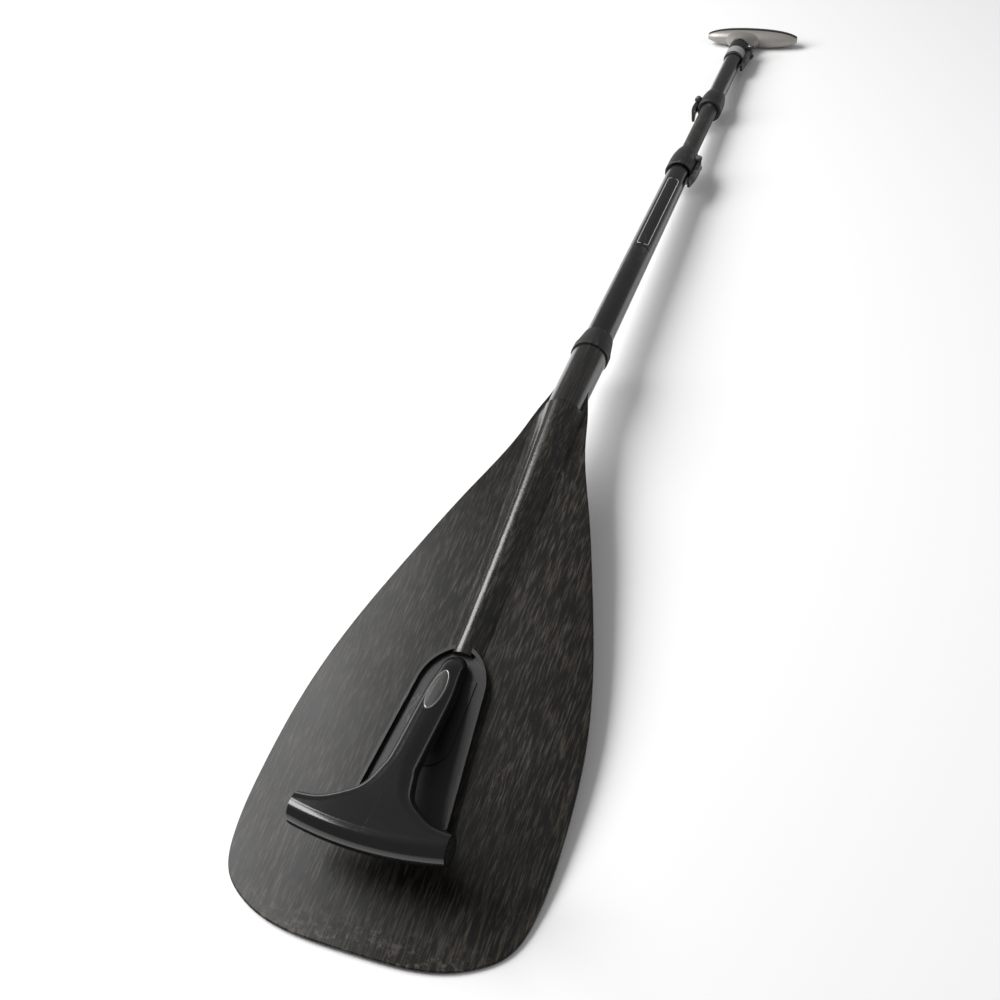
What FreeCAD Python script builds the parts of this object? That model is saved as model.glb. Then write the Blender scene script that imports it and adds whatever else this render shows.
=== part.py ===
"""Adjustable single blade paddle with a T-handle, and a second T-grip moulded onto the blade face.

Everything is drawn about the straight shaft first: X is the blade's width, Y runs along the shaft
axis towards the T-handle, Z is the normal of the face that carries the grip, and Y = 0 is the lower
edge of the throat collar. Places along the shaft are called stations. The blade is drawn flat and
then raked, and at the end the whole paddle is leant so that it rests on the floor, face up.
"""
import FreeCAD, Part
import math
import os

V = FreeCAD.Vector

# Fits, as radial clearances in millimetres
RUN_FIT = 0.05
BOND_FIT = 0.03
MOVING_GAP = 0.4

# Blade
BLADE_TIP = -607.0
BLADE_HALF_WIDTH = 124.2
BLADE_THICK = 3.2
BLADE_CAMBER_R = 1600.0
BLADE_EDGE_R = 1.2
BEND = -81.0
RAKE = 7.7

# Neck, spine and collar
SPINE_START = -84.0
SPINE_END = -362.0
SPINE_R_START = 16.9
SPINE_R_END = 10.6
SPINE_FILLET = 12.0
SPINE_FILLET_START = 5.0
SPINE_FILLET_GROWTH = 0.14
SEAM = 0.4
NECK_R_TOP = 17.8
NECK_TOP = 7.0
COLLAR_WALL = 1.4
COLLAR_RIM_LEN = 9.5
COLLAR_LEN = 31.0
COLLAR_LIP = 0.7

# Shaft tubes
LOWER_R_FOOT = 14.4
LOWER_R_TOP = 13.1
LOWER_BORE_R = 11.7
TAPER_END = 356.0
MIDDLE_R = 10.2
MIDDLE_WALL = 1.3
MIDDLE_FOOT = 130.0
MIDDLE_TOP = 628.0
UPPER_WALL = 1.0
FERRULE_WALL = 1.6
FERRULE_FOOT = -75.0
FERRULE_TOP = 55.0
BUSH_LEN = 22.0

# Label on the lower tube
LABEL_FROM = 187.0
LABEL_TO = 337.0
LABEL_ARC = 84.0
LABEL_TURN = 20.0
LABEL_THICK = 0.25

# Clamps: stations of the rims, tube ends, pivots, lever tips and tops
LOWER_CLAMP = dict(rim=366.0, seat=384.0, top=414.0, pivot=395.0, tip=346.0,
                   rim_r=16.5, top_r=12.7, turn=0.0, straight=0.4, seat_below=True)
MIDDLE_CLAMP = dict(rim=528.0, seat=552.0, top=566.0, pivot=544.0, tip=506.0,
                    rim_r=15.2, top_r=12.9, turn=180.0, straight=0.4, seat_below=False)
TOP_CLAMP = dict(rim=674.0, seat=697.0, top=714.0, pivot=706.0, tip=656.0,
                 rim_r=13.0, top_r=12.9, turn=0.0, straight=0.5, seat_below=True)
CLAMP_MOUTH = 1.5
CLAMP_MOUTH_DEPTH = 3.5
CLAMP_EDGE = 0.8
SHOE_THICK = 2.0
SHOE_LEN = 9.0
CAM_R = 4.2
CAM_OFFSET = 0.4
CHEEK_THICK = 2.8
CHEEK_R = 4.8
LEVER_WIDTH = 9.0
LEVER_THICK = 3.6
LEVER_BULGE = 1.2
GRIP_GROOVES = 4
GROOVE_PITCH = 2.6
GROOVE_DEPTH = 0.5
BOLT_R = 1.75
BOLT_HEAD_R = 3.3
BOLT_HEAD = 1.6
NUT_FLAT = 5.6
NUT_THICK = 2.6
BAND_FROM = 677.0
BAND_TO = 693.0
BAND_THICK = 0.5

# T-handle
HANDLE_Y = 751.0
HANDLE_LEN = 122.0
HANDLE_OFFSET = 11.0
HANDLE_DEPTH = 15.0
HANDLE_HALF_THICK = 12.0
HANDLE_SPLIT = 748.0
HANDLE_SEAM = 0.3
STEM_FOOT = 655.0
STEM_TOP = 759.0
STEM_WALL = 2.2
SOCKET_MOUTH = 718.0
SOCKET_R = 13.8
SOCKET_MOUTH_GAP = 1.6
SOCKET_MOUTH_DEPTH = 3.0

# Grip on the blade face, drawn in the blade's own plane
GRIP_BAR_Y = -539.0
GRIP_BAR_UP = 47.0
GRIP_HALF_LEN = 61.0
GRIP_END_DEPTH = 23.0
GRIP_PALM_BULGE = 7.0
GRIP_NECK_HALF = 12.8
GRIP_ROOT_HALF = 10.0
GRIP_HALF_THICK = 12.0
GRIP_EDGE_R = 11.2
GRIP_WALL = 3.0
GRIP_SLOPE = 12.8
GRIP_ROOT = 176.0
CAP_THICK = 1.8
CAP_MARGIN = 2.6
CAP_GAP = 0.25
BADGE_AT = 131.0
BADGE_LEN = 42.0
BADGE_WIDTH = 14.0
BADGE_THICK = 0.5
BASE_APEX = -353.0
BASE_FOOT = -520.0
BASE_SHOULDER = 30.0
BASE_HALF_FOOT = 41.0
BASE_FLOOR = 3.0
BASE_RIM = 7.0
BASE_RIM_WIDTH = 2.4
BASE_STEP = 1.0
BASE_STEP_HALF = 20.0
BASE_STEP_END = -462.0
WEB_HALF = 6.0
WEB_END = -447.0

UPPER_BORE_R = MIDDLE_R + RUN_FIT
UPPER_R = UPPER_BORE_R + UPPER_WALL
PIVOT_R = MIDDLE_R + 0.1 + SHOE_THICK + MOVING_GAP + CAM_R


# ---------------------------------------------------------------- helpers
def solid_of(shape):
    """The single solid in a boolean result."""
    return shape.removeSplitter().Solids[0] if len(shape.Solids) == 1 else shape.removeSplitter()


def turned(profile):
    """Solid of revolution about the shaft axis from (radius, station) points."""
    points = [V(r, y, 0) for r, y in profile]
    face = Part.Face(Part.makePolygon(points + [points[0]]))
    return face.revolve(V(0, 0, 0), V(0, 1, 0), 360)


def tube(outer, inner, start, end):
    return turned([(inner, start), (outer, start), (outer, end), (inner, end)])


def rod(radius, start, end):
    return Part.makeCylinder(radius, end - start, V(0, start, 0), V(0, 1, 0))


def block(x0, x1, y0, y1, z0, z1):
    return Part.makeBox(x1 - x0, y1 - y0, z1 - z0, V(x0, y0, z0))


def across(radius, x, y, z0, z1):
    """Cylinder along Z at (x, y)."""
    return Part.makeCylinder(radius, z1 - z0, V(x, y, z0), V(0, 0, 1))


def spline(points, start=None, end=None):
    curve = Part.BSplineCurve()
    if start is None:
        curve.interpolate(points)
    else:
        curve.interpolate(Points=points, InitialTangent=start, FinalTangent=end)
    return curve.toShape()


def arc(a, b, c):
    return Part.Arc(a, b, c).toShape()


def line(a, b):
    return Part.makeLine(a, b)


def mirrored(shape):
    return shape.mirror(V(0, 0, 0), V(1, 0, 0))


def raked(shape):
    """Turn a shape drawn in the flat blade plane to the blade's rake."""
    result = shape.copy()
    result.rotate(V(0, BEND, 0), V(1, 0, 0), RAKE)
    return result


def lower_radius(y):
    """Outside radius of the tapered lower tube at a station."""
    share = min(max((y - NECK_TOP) / (TAPER_END - NECK_TOP), 0.0), 1.0)
    return LOWER_R_FOOT + (LOWER_R_TOP - LOWER_R_FOOT) * share


# ---------------------------------------------------------------- blade
def blade_outline():
    """Closed outline of the blade in its flat plane."""
    length = SPINE_START - BLADE_TIP
    stations = [(0.137, -0.053), (0.189, -0.004), (0.262, 0.071), (0.461, 0.210), (0.672, 0.361),
                (0.859, 0.512), (0.969, 0.652), (1.0, 0.780), (0.976, 0.888), (0.895, 0.942),
                (0.74, 0.972)]
    side = [V(BLADE_HALF_WIDTH * w, SPINE_START - length * u, 0) for w, u in stations]
    tip = V(0, BLADE_TIP, 0)
    right = spline(side + [tip], V(0.15, -1, 0), V(-1, 0, 0))
    start = side[0]
    closing = line(V(-start.x, start.y, 0), start)
    return Part.Wire(Part.__sortEdges__([right, mirrored(right), closing]))


def blade_slab(low, high, y0, y1):
    """Slightly crowned slab between two heights at its middle."""
    half = BLADE_HALF_WIDTH + 12.0
    drop = BLADE_CAMBER_R - math.sqrt(BLADE_CAMBER_R ** 2 - half ** 2)
    top = arc(V(-half, y0, high - drop), V(0, y0, high), V(half, y0, high - drop))
    bottom = arc(V(half, y0, low - drop), V(0, y0, low), V(-half, y0, low - drop))
    sides = [line(V(half, y0, high - drop), V(half, y0, low - drop)),
             line(V(-half, y0, low - drop), V(-half, y0, high - drop))]
    face = Part.Face(Part.Wire(Part.__sortEdges__([top, bottom] + sides)))
    return face.extrude(V(0, y1 - y0, 0))


def spine_section(y, radius, fillet, height, depth):
    """Cross-section of the spine with hollow fillets down to the blade, above and below."""
    def curve(size):
        points = [(1.0, 0.0), (0.62, 0.10), (0.22, 0.24)]
        foot = [V(radius + fillet * u, y, size * v) for u, v in points]
        crown = [V(radius * u, y, size * v) for u, v in [(0.93, 0.48), (0.72, 0.77), (0.38, 0.95)]]
        right = foot + crown
        left = [V(-p.x, y, p.z) for p in reversed(right)]
        return spline(right + [V(0, y, size)] + left)

    return Part.Wire(Part.__sortEdges__([curve(height), curve(-depth)]))


def make_spine():
    """Round spine that fades into the blade at the back and runs on under the grip in front."""
    hidden = BLADE_THICK / 2 - 0.7
    steps = [(0.0, 1.0), (0.14, 0.74), (0.34, 0.33), (0.52, 0.12), (0.75, 0.0), (1.0, 0.0)]
    sections = []
    for along, back in steps:
        y = SPINE_START - SEAM + (SPINE_END - SPINE_START) * along
        ease = 1 - (1 - along) ** 2
        radius = SPINE_R_START + (SPINE_R_END - SPINE_R_START) * ease
        depth = hidden + (radius - hidden) * back
        grown = min(1.0, along / SPINE_FILLET_GROWTH)
        fillet = SPINE_FILLET_START + (SPINE_FILLET - SPINE_FILLET_START) * grown
        sections.append(spine_section(y, radius, fillet, radius, depth))
    return Part.makeLoft(sections, True, False)


def make_neck_envelope():
    """Outside of the neck, from inside the collar to just past the bend."""
    def ring(radius, y, bent):
        circle = Part.Wire(Part.makeCircle(radius, V(0, y, 0), V(0, 1, 0)))
        return raked(circle) if bent else circle

    middle = (NECK_R_TOP + SPINE_R_START) / 2
    rings = [ring(NECK_R_TOP, NECK_TOP, False), ring(middle, NECK_TOP - 45.0, False),
             ring(SPINE_R_START + 0.1, BEND + 10.0, False), ring(SPINE_R_START, SPINE_START, True)]
    return Part.makeLoft(rings, True, False)


def make_blade(spine, neck):
    top = BLADE_THICK / 2
    slab = blade_slab(-top, top, BLADE_TIP - 5, BEND + 60)
    prism = Part.Face(blade_outline()).extrude(V(0, 0, 60))
    prism.translate(V(0, 0, -30))
    plate = slab.common(prism).Solids[0]
    rim = [e for e in plate.Edges if on_rim(e)]
    plate = plate.makeFillet(BLADE_EDGE_R, rim)
    body = raked(plate.fuse(spine))
    return solid_of(body.cut(neck))


def on_rim(edge):
    """True for the long edges of the blade's outline, not for its short closing edges."""
    box = edge.BoundBox
    return box.YLength > 100


def make_neck(neck):
    bore = rod(LOWER_BORE_R, FERRULE_FOOT - 2.0, NECK_TOP + 1)
    return solid_of(neck.cut(bore))


def make_ferrule():
    outer = LOWER_BORE_R - BOND_FIT
    return tube(outer, outer - FERRULE_WALL, FERRULE_FOOT, FERRULE_TOP)


def make_collar():
    """Ribbed sleeve over the joint of neck and lower tube."""
    neck_bore = NECK_R_TOP + BOND_FIT
    rim = neck_bore + COLLAR_WALL
    step = rim - COLLAR_LIP
    end = LOWER_R_FOOT + 0.7
    profile = [(neck_bore, 0.0), (rim, 0.0), (rim, COLLAR_RIM_LEN)]
    ribs = 6
    for i in range(ribs + 1):
        y = COLLAR_RIM_LEN + (COLLAR_LEN - COLLAR_RIM_LEN) * i / ribs
        radius = step + (end - step) * i / ribs
        profile.append((radius, y))
        if i < ribs:
            profile += [(radius, y + 2.4), (radius - 0.45, y + 2.6), (radius - 0.45, y + 3.1)]
    tube_bore = LOWER_R_FOOT + BOND_FIT
    profile += [(tube_bore, COLLAR_LEN), (tube_bore, NECK_TOP + 0.2), (neck_bore, NECK_TOP + 0.2)]
    return turned(profile)


# ---------------------------------------------------------------- shaft tubes
def make_lower_shaft():
    start = NECK_TOP + 0.2
    end = LOWER_CLAMP["seat"]
    return turned([(LOWER_BORE_R, start), (LOWER_R_FOOT, start), (LOWER_R_TOP, TAPER_END),
                   (LOWER_R_TOP, end), (LOWER_BORE_R, end)])


def make_label():
    """Plain sticker wrapped partly round the lower tube."""
    points = []
    for y, lift in [(LABEL_FROM, 0), (LABEL_FROM, 1), (LABEL_TO, 1), (LABEL_TO, 0)]:
        points.append(V(lower_radius(y) + BOND_FIT + LABEL_THICK * lift, y, 0))
    face = Part.Face(Part.makePolygon(points + [points[0]]))
    strip = face.revolve(V(0, 0, 0), V(0, 1, 0), LABEL_ARC)
    strip.rotate(V(0, 0, 0), V(0, 1, 0), LABEL_TURN - 90 - LABEL_ARC / 2)
    return strip


def make_guide_bush():
    end = LOWER_CLAMP["seat"]
    return tube(LOWER_BORE_R - BOND_FIT, MIDDLE_R + RUN_FIT, end - BUSH_LEN, end)


def make_middle_shaft():
    return tube(MIDDLE_R, MIDDLE_R - MIDDLE_WALL, MIDDLE_FOOT, MIDDLE_TOP)


def make_foot_bush():
    return tube(LOWER_BORE_R - RUN_FIT, MIDDLE_R + BOND_FIT, MIDDLE_FOOT, MIDDLE_FOOT + BUSH_LEN)


def make_upper_shaft():
    return tube(UPPER_R, UPPER_BORE_R, MIDDLE_CLAMP["seat"], TOP_CLAMP["seat"])


# ---------------------------------------------------------------- clamps
def placed(shape, clamp):
    result = shape.copy()
    result.rotate(V(0, 0, 0), V(0, 1, 0), clamp["turn"])
    return result


def clamp_body(clamp, seat_r, mouth_r):
    """Sleeve bonded to one tube and running on the next, with two cheeks for the lever."""
    rim, seat, top = clamp["rim"], clamp["seat"], clamp["top"]
    rim_r, top_r, pivot = clamp["rim_r"], clamp["top_r"], clamp["pivot"]
    grip_r = MIDDLE_R + RUN_FIT
    straight = rim + clamp["straight"] * (top - rim)
    low, high = V(rim_r, straight, 0), V(top_r, top - CLAMP_EDGE, 0)
    bulge = V((low.x + high.x) / 2 + 0.12 * (rim_r - top_r) + 0.4, (low.y + high.y) / 2, 0)
    edges = [line(V(0, rim, 0), V(rim_r - CLAMP_EDGE, rim, 0)),
             line(V(rim_r - CLAMP_EDGE, rim, 0), V(rim_r, rim + CLAMP_EDGE, 0)),
             line(V(rim_r, rim + CLAMP_EDGE, 0), low), arc(low, bulge, high),
             line(high, V(top_r - CLAMP_EDGE, top, 0)), line(V(top_r - CLAMP_EDGE, top, 0), V(0, top, 0)),
             line(V(0, top, 0), V(0, rim, 0))]
    body = Part.Face(Part.Wire(edges)).revolve(V(0, 0, 0), V(0, 1, 0), 360)
    inner = LEVER_WIDTH / 2 + MOVING_GAP
    for z0, z1 in [(inner, inner + CHEEK_THICK), (-inner - CHEEK_THICK, -inner)]:
        body = body.fuse(across(CHEEK_R, PIVOT_R, pivot, z0, z1))
        body = body.fuse(block(grip_r, PIVOT_R, pivot - CHEEK_R, pivot + CHEEK_R, z0, z1))
    body = body.cut(rod(grip_r, rim - 1, top + 1))
    ends = (rim - 1, seat) if clamp["seat_below"] else (seat, top + 1)
    body = body.cut(rod(seat_r + BOND_FIT, *ends))
    body = body.cut(rod(mouth_r + CLAMP_MOUTH, rim - 1, rim + CLAMP_MOUTH_DEPTH))
    reach = CAM_R + MOVING_GAP + 0.6
    body = body.cut(block(0, PIVOT_R + 2 * CHEEK_R, pivot - reach, pivot + reach, -inner, inner))
    body = body.cut(across(BOLT_R + RUN_FIT, PIVOT_R, pivot, -30, 30))
    for z0, z1 in [(inner + CHEEK_THICK, 30), (-30, -inner - CHEEK_THICK)]:
        body = body.cut(across(BOLT_HEAD_R + BOND_FIT, PIVOT_R, pivot, z0, z1))
    return placed(solid_of(body), clamp)


def clamp_shoe(clamp):
    """Curved pad that the lever's cam presses on the inner tube."""
    pivot = clamp["pivot"]
    inner = MIDDLE_R + 0.1
    half = LEVER_WIDTH / 2
    pad = block(0, inner + SHOE_THICK, pivot - SHOE_LEN / 2, pivot + SHOE_LEN / 2, -half, half)
    return placed(solid_of(pad.cut(rod(inner, pivot - SHOE_LEN, pivot + SHOE_LEN))), clamp)


def clamp_lever(clamp):
    """Cam lever lying along the shaft when it is closed."""
    pivot, tip, rim, rim_r = clamp["pivot"], clamp["tip"], clamp["rim"], clamp["rim_r"]
    half = LEVER_WIDTH / 2
    inside = rim_r + BAND_THICK + BOND_FIT + MOVING_GAP
    outside = inside + LEVER_THICK
    tube_r = LOWER_R_TOP if clamp is LOWER_CLAMP else UPPER_R
    tip_in = tube_r + 2.2
    knee = rim - 3.0
    middle = (pivot + tip) / 2
    a, b = V(inside, pivot, 0), V(inside, knee, 0)
    c, d = V(tip_in, tip, 0), V(tip_in + LEVER_THICK * 0.8, tip - 1.0, 0)
    e = V(outside, pivot, 0)
    outer = arc(d, V(outside + LEVER_BULGE, middle, 0), e)
    face = Part.Face(Part.Wire([line(a, b), line(b, c), line(c, d), outer, line(e, a)]))
    lever = face.extrude(V(0, 0, LEVER_WIDTH))
    lever.translate(V(0, 0, -half))
    lever = lever.fuse(across(CAM_R - CAM_OFFSET, PIVOT_R - CAM_OFFSET, pivot, -half, half))
    for i in range(GRIP_GROOVES):
        y = tip + 4.0 + GROOVE_PITCH * i
        outer_x = d.x + (outside + LEVER_BULGE - d.x) * math.sin(math.pi / 2 * (y - tip) / (middle - tip))
        lever = lever.cut(block(outer_x - GROOVE_DEPTH, outer_x + 5, y, y + 1.0, -half - 1, half + 1))
    lever = lever.cut(across(BOLT_R + RUN_FIT, PIVOT_R, pivot, -30, 30))
    return placed(solid_of(lever), clamp)


def clamp_bolt(clamp):
    """Pivot bolt with a domed head, across the two cheeks."""
    pivot = clamp["pivot"]
    outer = LEVER_WIDTH / 2 + MOVING_GAP + CHEEK_THICK
    shank = across(BOLT_R, PIVOT_R, pivot, -outer - NUT_THICK - 0.8, outer)
    head = across(BOLT_HEAD_R, PIVOT_R, pivot, outer, outer + BOLT_HEAD)
    crown = [e for e in head.Edges if e.BoundBox.ZMin > outer + BOLT_HEAD - 0.01]
    head = head.makeFillet(BOLT_HEAD * 0.7, crown)
    return placed(solid_of(shank.fuse(head)), clamp)


def clamp_nut(clamp):
    pivot = clamp["pivot"]
    outer = LEVER_WIDTH / 2 + MOVING_GAP + CHEEK_THICK
    corner = NUT_FLAT / 2 / math.cos(math.pi / 6)
    points = []
    for i in range(7):
        turn = math.pi / 3 * i
        points.append(V(PIVOT_R + corner * math.cos(turn), pivot + corner * math.sin(turn), -outer))
    nut = Part.Face(Part.makePolygon(points)).extrude(V(0, 0, -NUT_THICK))
    return placed(nut.cut(across(BOLT_R + BOND_FIT, PIVOT_R, pivot, -40, 40)), clamp)


def clamp_band():
    """Light ring round the top clamp's sleeve."""
    inner = TOP_CLAMP["rim_r"] + BOND_FIT
    return tube(inner + BAND_THICK, inner, BAND_FROM, BAND_TO)


# ---------------------------------------------------------------- T-handle
def ellipse_x(x, depth, thick, y):
    """Upright elliptical section across the handle's bar."""
    long_axis, short_axis = max(depth, thick), min(depth, thick)
    curve = Part.Ellipse(V(0, 0, 0), long_axis, short_axis)
    wire = Part.Wire(curve.toShape())
    wire.rotate(V(0, 0, 0), V(0, 1, 0), 90)
    wire.rotate(V(0, 0, 0), V(1, 0, 0), 90)
    wire.translate(V(x, y, 0))
    return wire


def handle_bar():
    """Lens-shaped bar, thickest over the stem."""
    half = HANDLE_LEN / 2
    sections = []
    for i in range(9):
        share = -1 + 2 * i / 8
        size = math.sqrt(1 - 0.88 * abs(share) ** 2.3)
        x = HANDLE_OFFSET + half * share
        sections.append(ellipse_x(x, HANDLE_DEPTH * size, HANDLE_HALF_THICK * size, HANDLE_Y))
    return Part.makeLoft(sections, True, False)


def handle_socket():
    """Neck of the handle, round at its mouth and spreading along the bar."""
    sections = []
    for y, wide, thick in [(SOCKET_MOUTH, SOCKET_R, SOCKET_R - 0.2),
                           (SOCKET_MOUTH + 9, SOCKET_R + 2.4, SOCKET_R - 1.4),
                           (SOCKET_MOUTH + 20, SOCKET_R + 10, SOCKET_R - 2.6),
                           (HANDLE_SPLIT, SOCKET_R + 22, SOCKET_R - 4.0)]:
        curve = Part.Ellipse(V(0, 0, 0), wide, thick)
        wire = Part.Wire(curve.toShape())
        wire.rotate(V(0, 0, 0), V(1, 0, 0), 90)
        wire.translate(V(0, y, 0))
        sections.append(wire)
    return Part.makeLoft(sections, True, False)


def handle_shells():
    """Finger-side and palm-side halves of the handle, seated on the stem."""
    bore = rod(MIDDLE_R + BOND_FIT, SOCKET_MOUTH - 5, STEM_TOP + 0.1)
    mouth = rod(MIDDLE_R + SOCKET_MOUTH_GAP, SOCKET_MOUTH - 5, SOCKET_MOUTH + SOCKET_MOUTH_DEPTH)
    near = block(-200, 200, SOCKET_MOUTH - 20, HANDLE_SPLIT - HANDLE_SEAM / 2, -60, 60)
    far = block(-200, 200, HANDLE_SPLIT + HANDLE_SEAM / 2, HANDLE_Y + 60, -60, 60)
    finger = handle_bar().fuse(handle_socket()).cut(bore).cut(mouth).common(near)
    palm = handle_bar().cut(bore).common(far)
    return solid_of(finger), palm.Solids[0]


def make_stem():
    return tube(MIDDLE_R, MIDDLE_R - STEM_WALL, STEM_FOOT, STEM_TOP)


# ---------------------------------------------------------------- grip on the blade
def grip_placed(shape):
    """From the grip's own plane to the flat blade plane."""
    result = shape.copy()
    result.rotate(V(0, 0, 0), V(1, 0, 0), -GRIP_SLOPE)
    result.translate(V(0, GRIP_BAR_Y, GRIP_BAR_UP))
    return result


def grip_body(grow):
    """T-shaped body with rounded edges, made larger or smaller all round by grow."""
    half = GRIP_HALF_LEN + min(grow, 0)
    finger = GRIP_END_DEPTH * 0.74 + grow
    palm = -GRIP_END_DEPTH * 0.26 - grow
    neck, root = GRIP_NECK_HALF + grow, GRIP_ROOT_HALF + grow
    a, b = V(half, palm, 0), V(half, finger, 0)
    flare = [b, V(half - 16, finger + 2.2, 0), V(half - 29, finger + 9.5, 0), V(neck + 8, finger + 20, 0),
             V(neck + 2.6, finger + 36, 0), V(neck, finger + 66, 0)]
    side = spline(flare, V(-1, 0.05, 0), V(0, 1, 0))
    shoulder = V(neck, GRIP_ROOT - 52, 0)
    corner = V(root, GRIP_ROOT - GRIP_ROOT_HALF, 0)
    taper = spline([shoulder, V((neck + root) / 2 + 0.4, (shoulder.y + corner.y) / 2, 0), corner],
                   V(0, 1, 0), V(0, 1, 0))
    right = [line(a, b), side, line(flare[-1], shoulder), taper]
    end = arc(corner, V(0, GRIP_ROOT + grow, 0), V(-corner.x, corner.y, 0))
    bottom = arc(V(-half, palm, 0), V(0, palm - GRIP_PALM_BULGE, 0), a)
    edges = right + [end] + [mirrored(e) for e in right] + [bottom]
    face = Part.Face(Part.Wire(Part.__sortEdges__(edges)))
    thick = GRIP_HALF_THICK + grow
    body = face.extrude(V(0, 0, 2 * thick))
    body.translate(V(0, 0, -thick))
    long_edges = [e for e in body.Edges if is_grip_edge(e, thick, half)]
    return body.makeFillet(GRIP_EDGE_R + grow, long_edges)


def is_grip_edge(edge, thick, half):
    """True for edges of the two broad faces, except along the bar's flat ends."""
    box = edge.BoundBox
    flat = box.ZLength < 1e-3 and abs(abs(box.ZMin) - thick) < 1e-3
    at_end = box.XLength < 1e-3 and abs(box.XMin) > half - 1e-2
    return flat and not at_end


def end_pocket(thick, margin):
    """Rounded block for the pocket and the cap in the right-hand end of the bar."""
    low, high = -GRIP_END_DEPTH * 0.26 + margin, GRIP_END_DEPTH * 0.74 - margin
    half = GRIP_HALF_THICK - margin
    plate = block(GRIP_HALF_LEN - thick, GRIP_HALF_LEN, low, high, -half, half)
    corners = [e for e in plate.Edges if e.BoundBox.XLength > thick - 0.01]
    return plate.makeFillet(GRIP_EDGE_R - margin, corners)


def base_outline(inset):
    """Pointed arch of the grip's base, in the flat blade plane."""
    apex = V(0, BASE_APEX - 1.6 * inset, 0)
    shoulder = V(BASE_SHOULDER - inset, BASE_APEX - 38.0, 0)
    brow = V((BASE_SHOULDER - inset) * 0.66, BASE_APEX - 13.0 - inset, 0)
    foot = V(BASE_HALF_FOOT - inset, BASE_FOOT + 14.0, 0)
    arch = spline([apex, brow, shoulder], V(1, -0.25, 0), V(0.12, -1, 0))
    side = line(shoulder, foot)
    bottom = arc(foot, V(0, BASE_FOOT + inset, 0), V(-foot.x, foot.y, 0))
    return Part.Wire(Part.__sortEdges__([arch, side, bottom, mirrored(side), mirrored(arch)]))


def prism(wire, z0, z1):
    solid = Part.Face(wire).extrude(V(0, 0, z1 - z0))
    solid.translate(V(0, 0, z0))
    return solid


def make_grip(spine):
    """Base, two shells, end caps and badge, all in the flat blade plane."""
    face = BLADE_THICK / 2
    floor, rim = face + BASE_FLOOR, face + BASE_RIM
    outer = grip_placed(grip_body(0))
    under = blade_slab(-40, face, BLADE_TIP - 5, BEND)
    base = prism(base_outline(0), -3, rim)
    base = base.cut(prism(base_outline(BASE_RIM_WIDTH), floor, rim + 1))
    step = block(-BASE_STEP_HALF, BASE_STEP_HALF, BASE_STEP_END + BASE_STEP_HALF, BASE_APEX - 30,
                 floor - 0.5, floor + BASE_STEP)
    round_end = across(BASE_STEP_HALF, 0, BASE_STEP_END + BASE_STEP_HALF, floor - 0.5, floor + BASE_STEP)
    web = block(-WEB_HALF, WEB_HALF, WEB_END, BASE_APEX - 20, 0, GRIP_BAR_UP)
    web = web.cut(grip_placed(block(-60, 60, -60, 250, 0, 120)))
    base = base.fuse(step.fuse(round_end).common(prism(base_outline(1), 0, 30)))
    base = base.fuse(web).cut(outer).cut(under).cut(spine)
    base = max(base.Solids, key=lambda s: s.Volume)

    cavity = grip_placed(grip_body(-GRIP_WALL))
    shell = outer.cut(cavity).cut(base).cut(under).cut(spine)
    pocket = end_pocket(CAP_THICK + 0.1, CAP_MARGIN)
    shell = shell.cut(grip_placed(pocket)).cut(grip_placed(mirrored(pocket)))
    cap = end_pocket(CAP_THICK, CAP_MARGIN + CAP_GAP)
    caps = [grip_placed(cap), grip_placed(mirrored(cap))]
    upper_half = grip_placed(block(-90, 90, -60, 250, HANDLE_SEAM / 2, 60))
    lower_half = grip_placed(block(-90, 90, -60, 250, -60, -HANDLE_SEAM / 2))
    upper = max(shell.common(upper_half).Solids, key=lambda s: s.Volume)
    lower = max(shell.common(lower_half).Solids, key=lambda s: s.Volume)

    oval = Part.Ellipse(V(0, 0, 0), BADGE_LEN / 2, BADGE_WIDTH / 2)
    wire = Part.Wire(oval.toShape())
    wire.rotate(V(0, 0, 0), V(0, 0, 1), 90)
    wire.translate(V(0, BADGE_AT, 0))
    badge = grip_body(BADGE_THICK).common(prism(wire, 0, 60)).cut(grip_body(BOND_FIT))
    badge = grip_placed(max(badge.Solids, key=lambda s: s.Volume))
    return base, lower, upper, Part.makeCompound(caps), badge


# ---------------------------------------------------------------- assembly
def build():
    """Every piece about the straight shaft, by node name."""
    spine = make_spine()
    neck = make_neck_envelope()
    base, grip_lower, grip_upper, caps, badge = make_grip(spine)
    finger, palm = handle_shells()
    parts = {
        "blade": make_blade(spine, neck),
        "blade_neck": make_neck(neck),
        "blade_ferrule": make_ferrule(),
        "throat_collar": make_collar(),
        "lower_shaft": make_lower_shaft(),
        "shaft_label": make_label(),
        "lower_guide_bush": make_guide_bush(),
        "middle_shaft": make_middle_shaft(),
        "middle_foot_bush": make_foot_bush(),
        "upper_shaft": make_upper_shaft(),
        "top_clamp_band": clamp_band(),
        "handle_stem": make_stem(),
        "handle_finger_shell": finger,
        "handle_palm_shell": palm,
        "grip_base": raked(base),
        "grip_lower_shell": raked(grip_lower),
        "grip_upper_shell": raked(grip_upper),
        "grip_end_caps": raked(caps),
        "grip_badge": raked(badge),
    }
    clamps = [("lower_clamp", LOWER_CLAMP, LOWER_R_TOP, LOWER_R_TOP),
              ("middle_clamp", MIDDLE_CLAMP, UPPER_R, MIDDLE_R),
              ("top_clamp", TOP_CLAMP, UPPER_R, UPPER_R - CLAMP_MOUTH)]
    for name, clamp, seat_r, mouth_r in clamps:
        parts[name + "_body"] = clamp_body(clamp, seat_r, mouth_r)
        parts[name + "_shoe"] = clamp_shoe(clamp)
        parts[name + "_lever"] = clamp_lever(clamp)
        parts[name + "_bolt"] = clamp_bolt(clamp)
        parts[name + "_nut"] = clamp_nut(clamp)
    return parts


def leant(shape, angle):
    result = shape.copy()
    result.rotate(V(0, 0, 0), V(1, 0, 0), angle)
    return result


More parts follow.
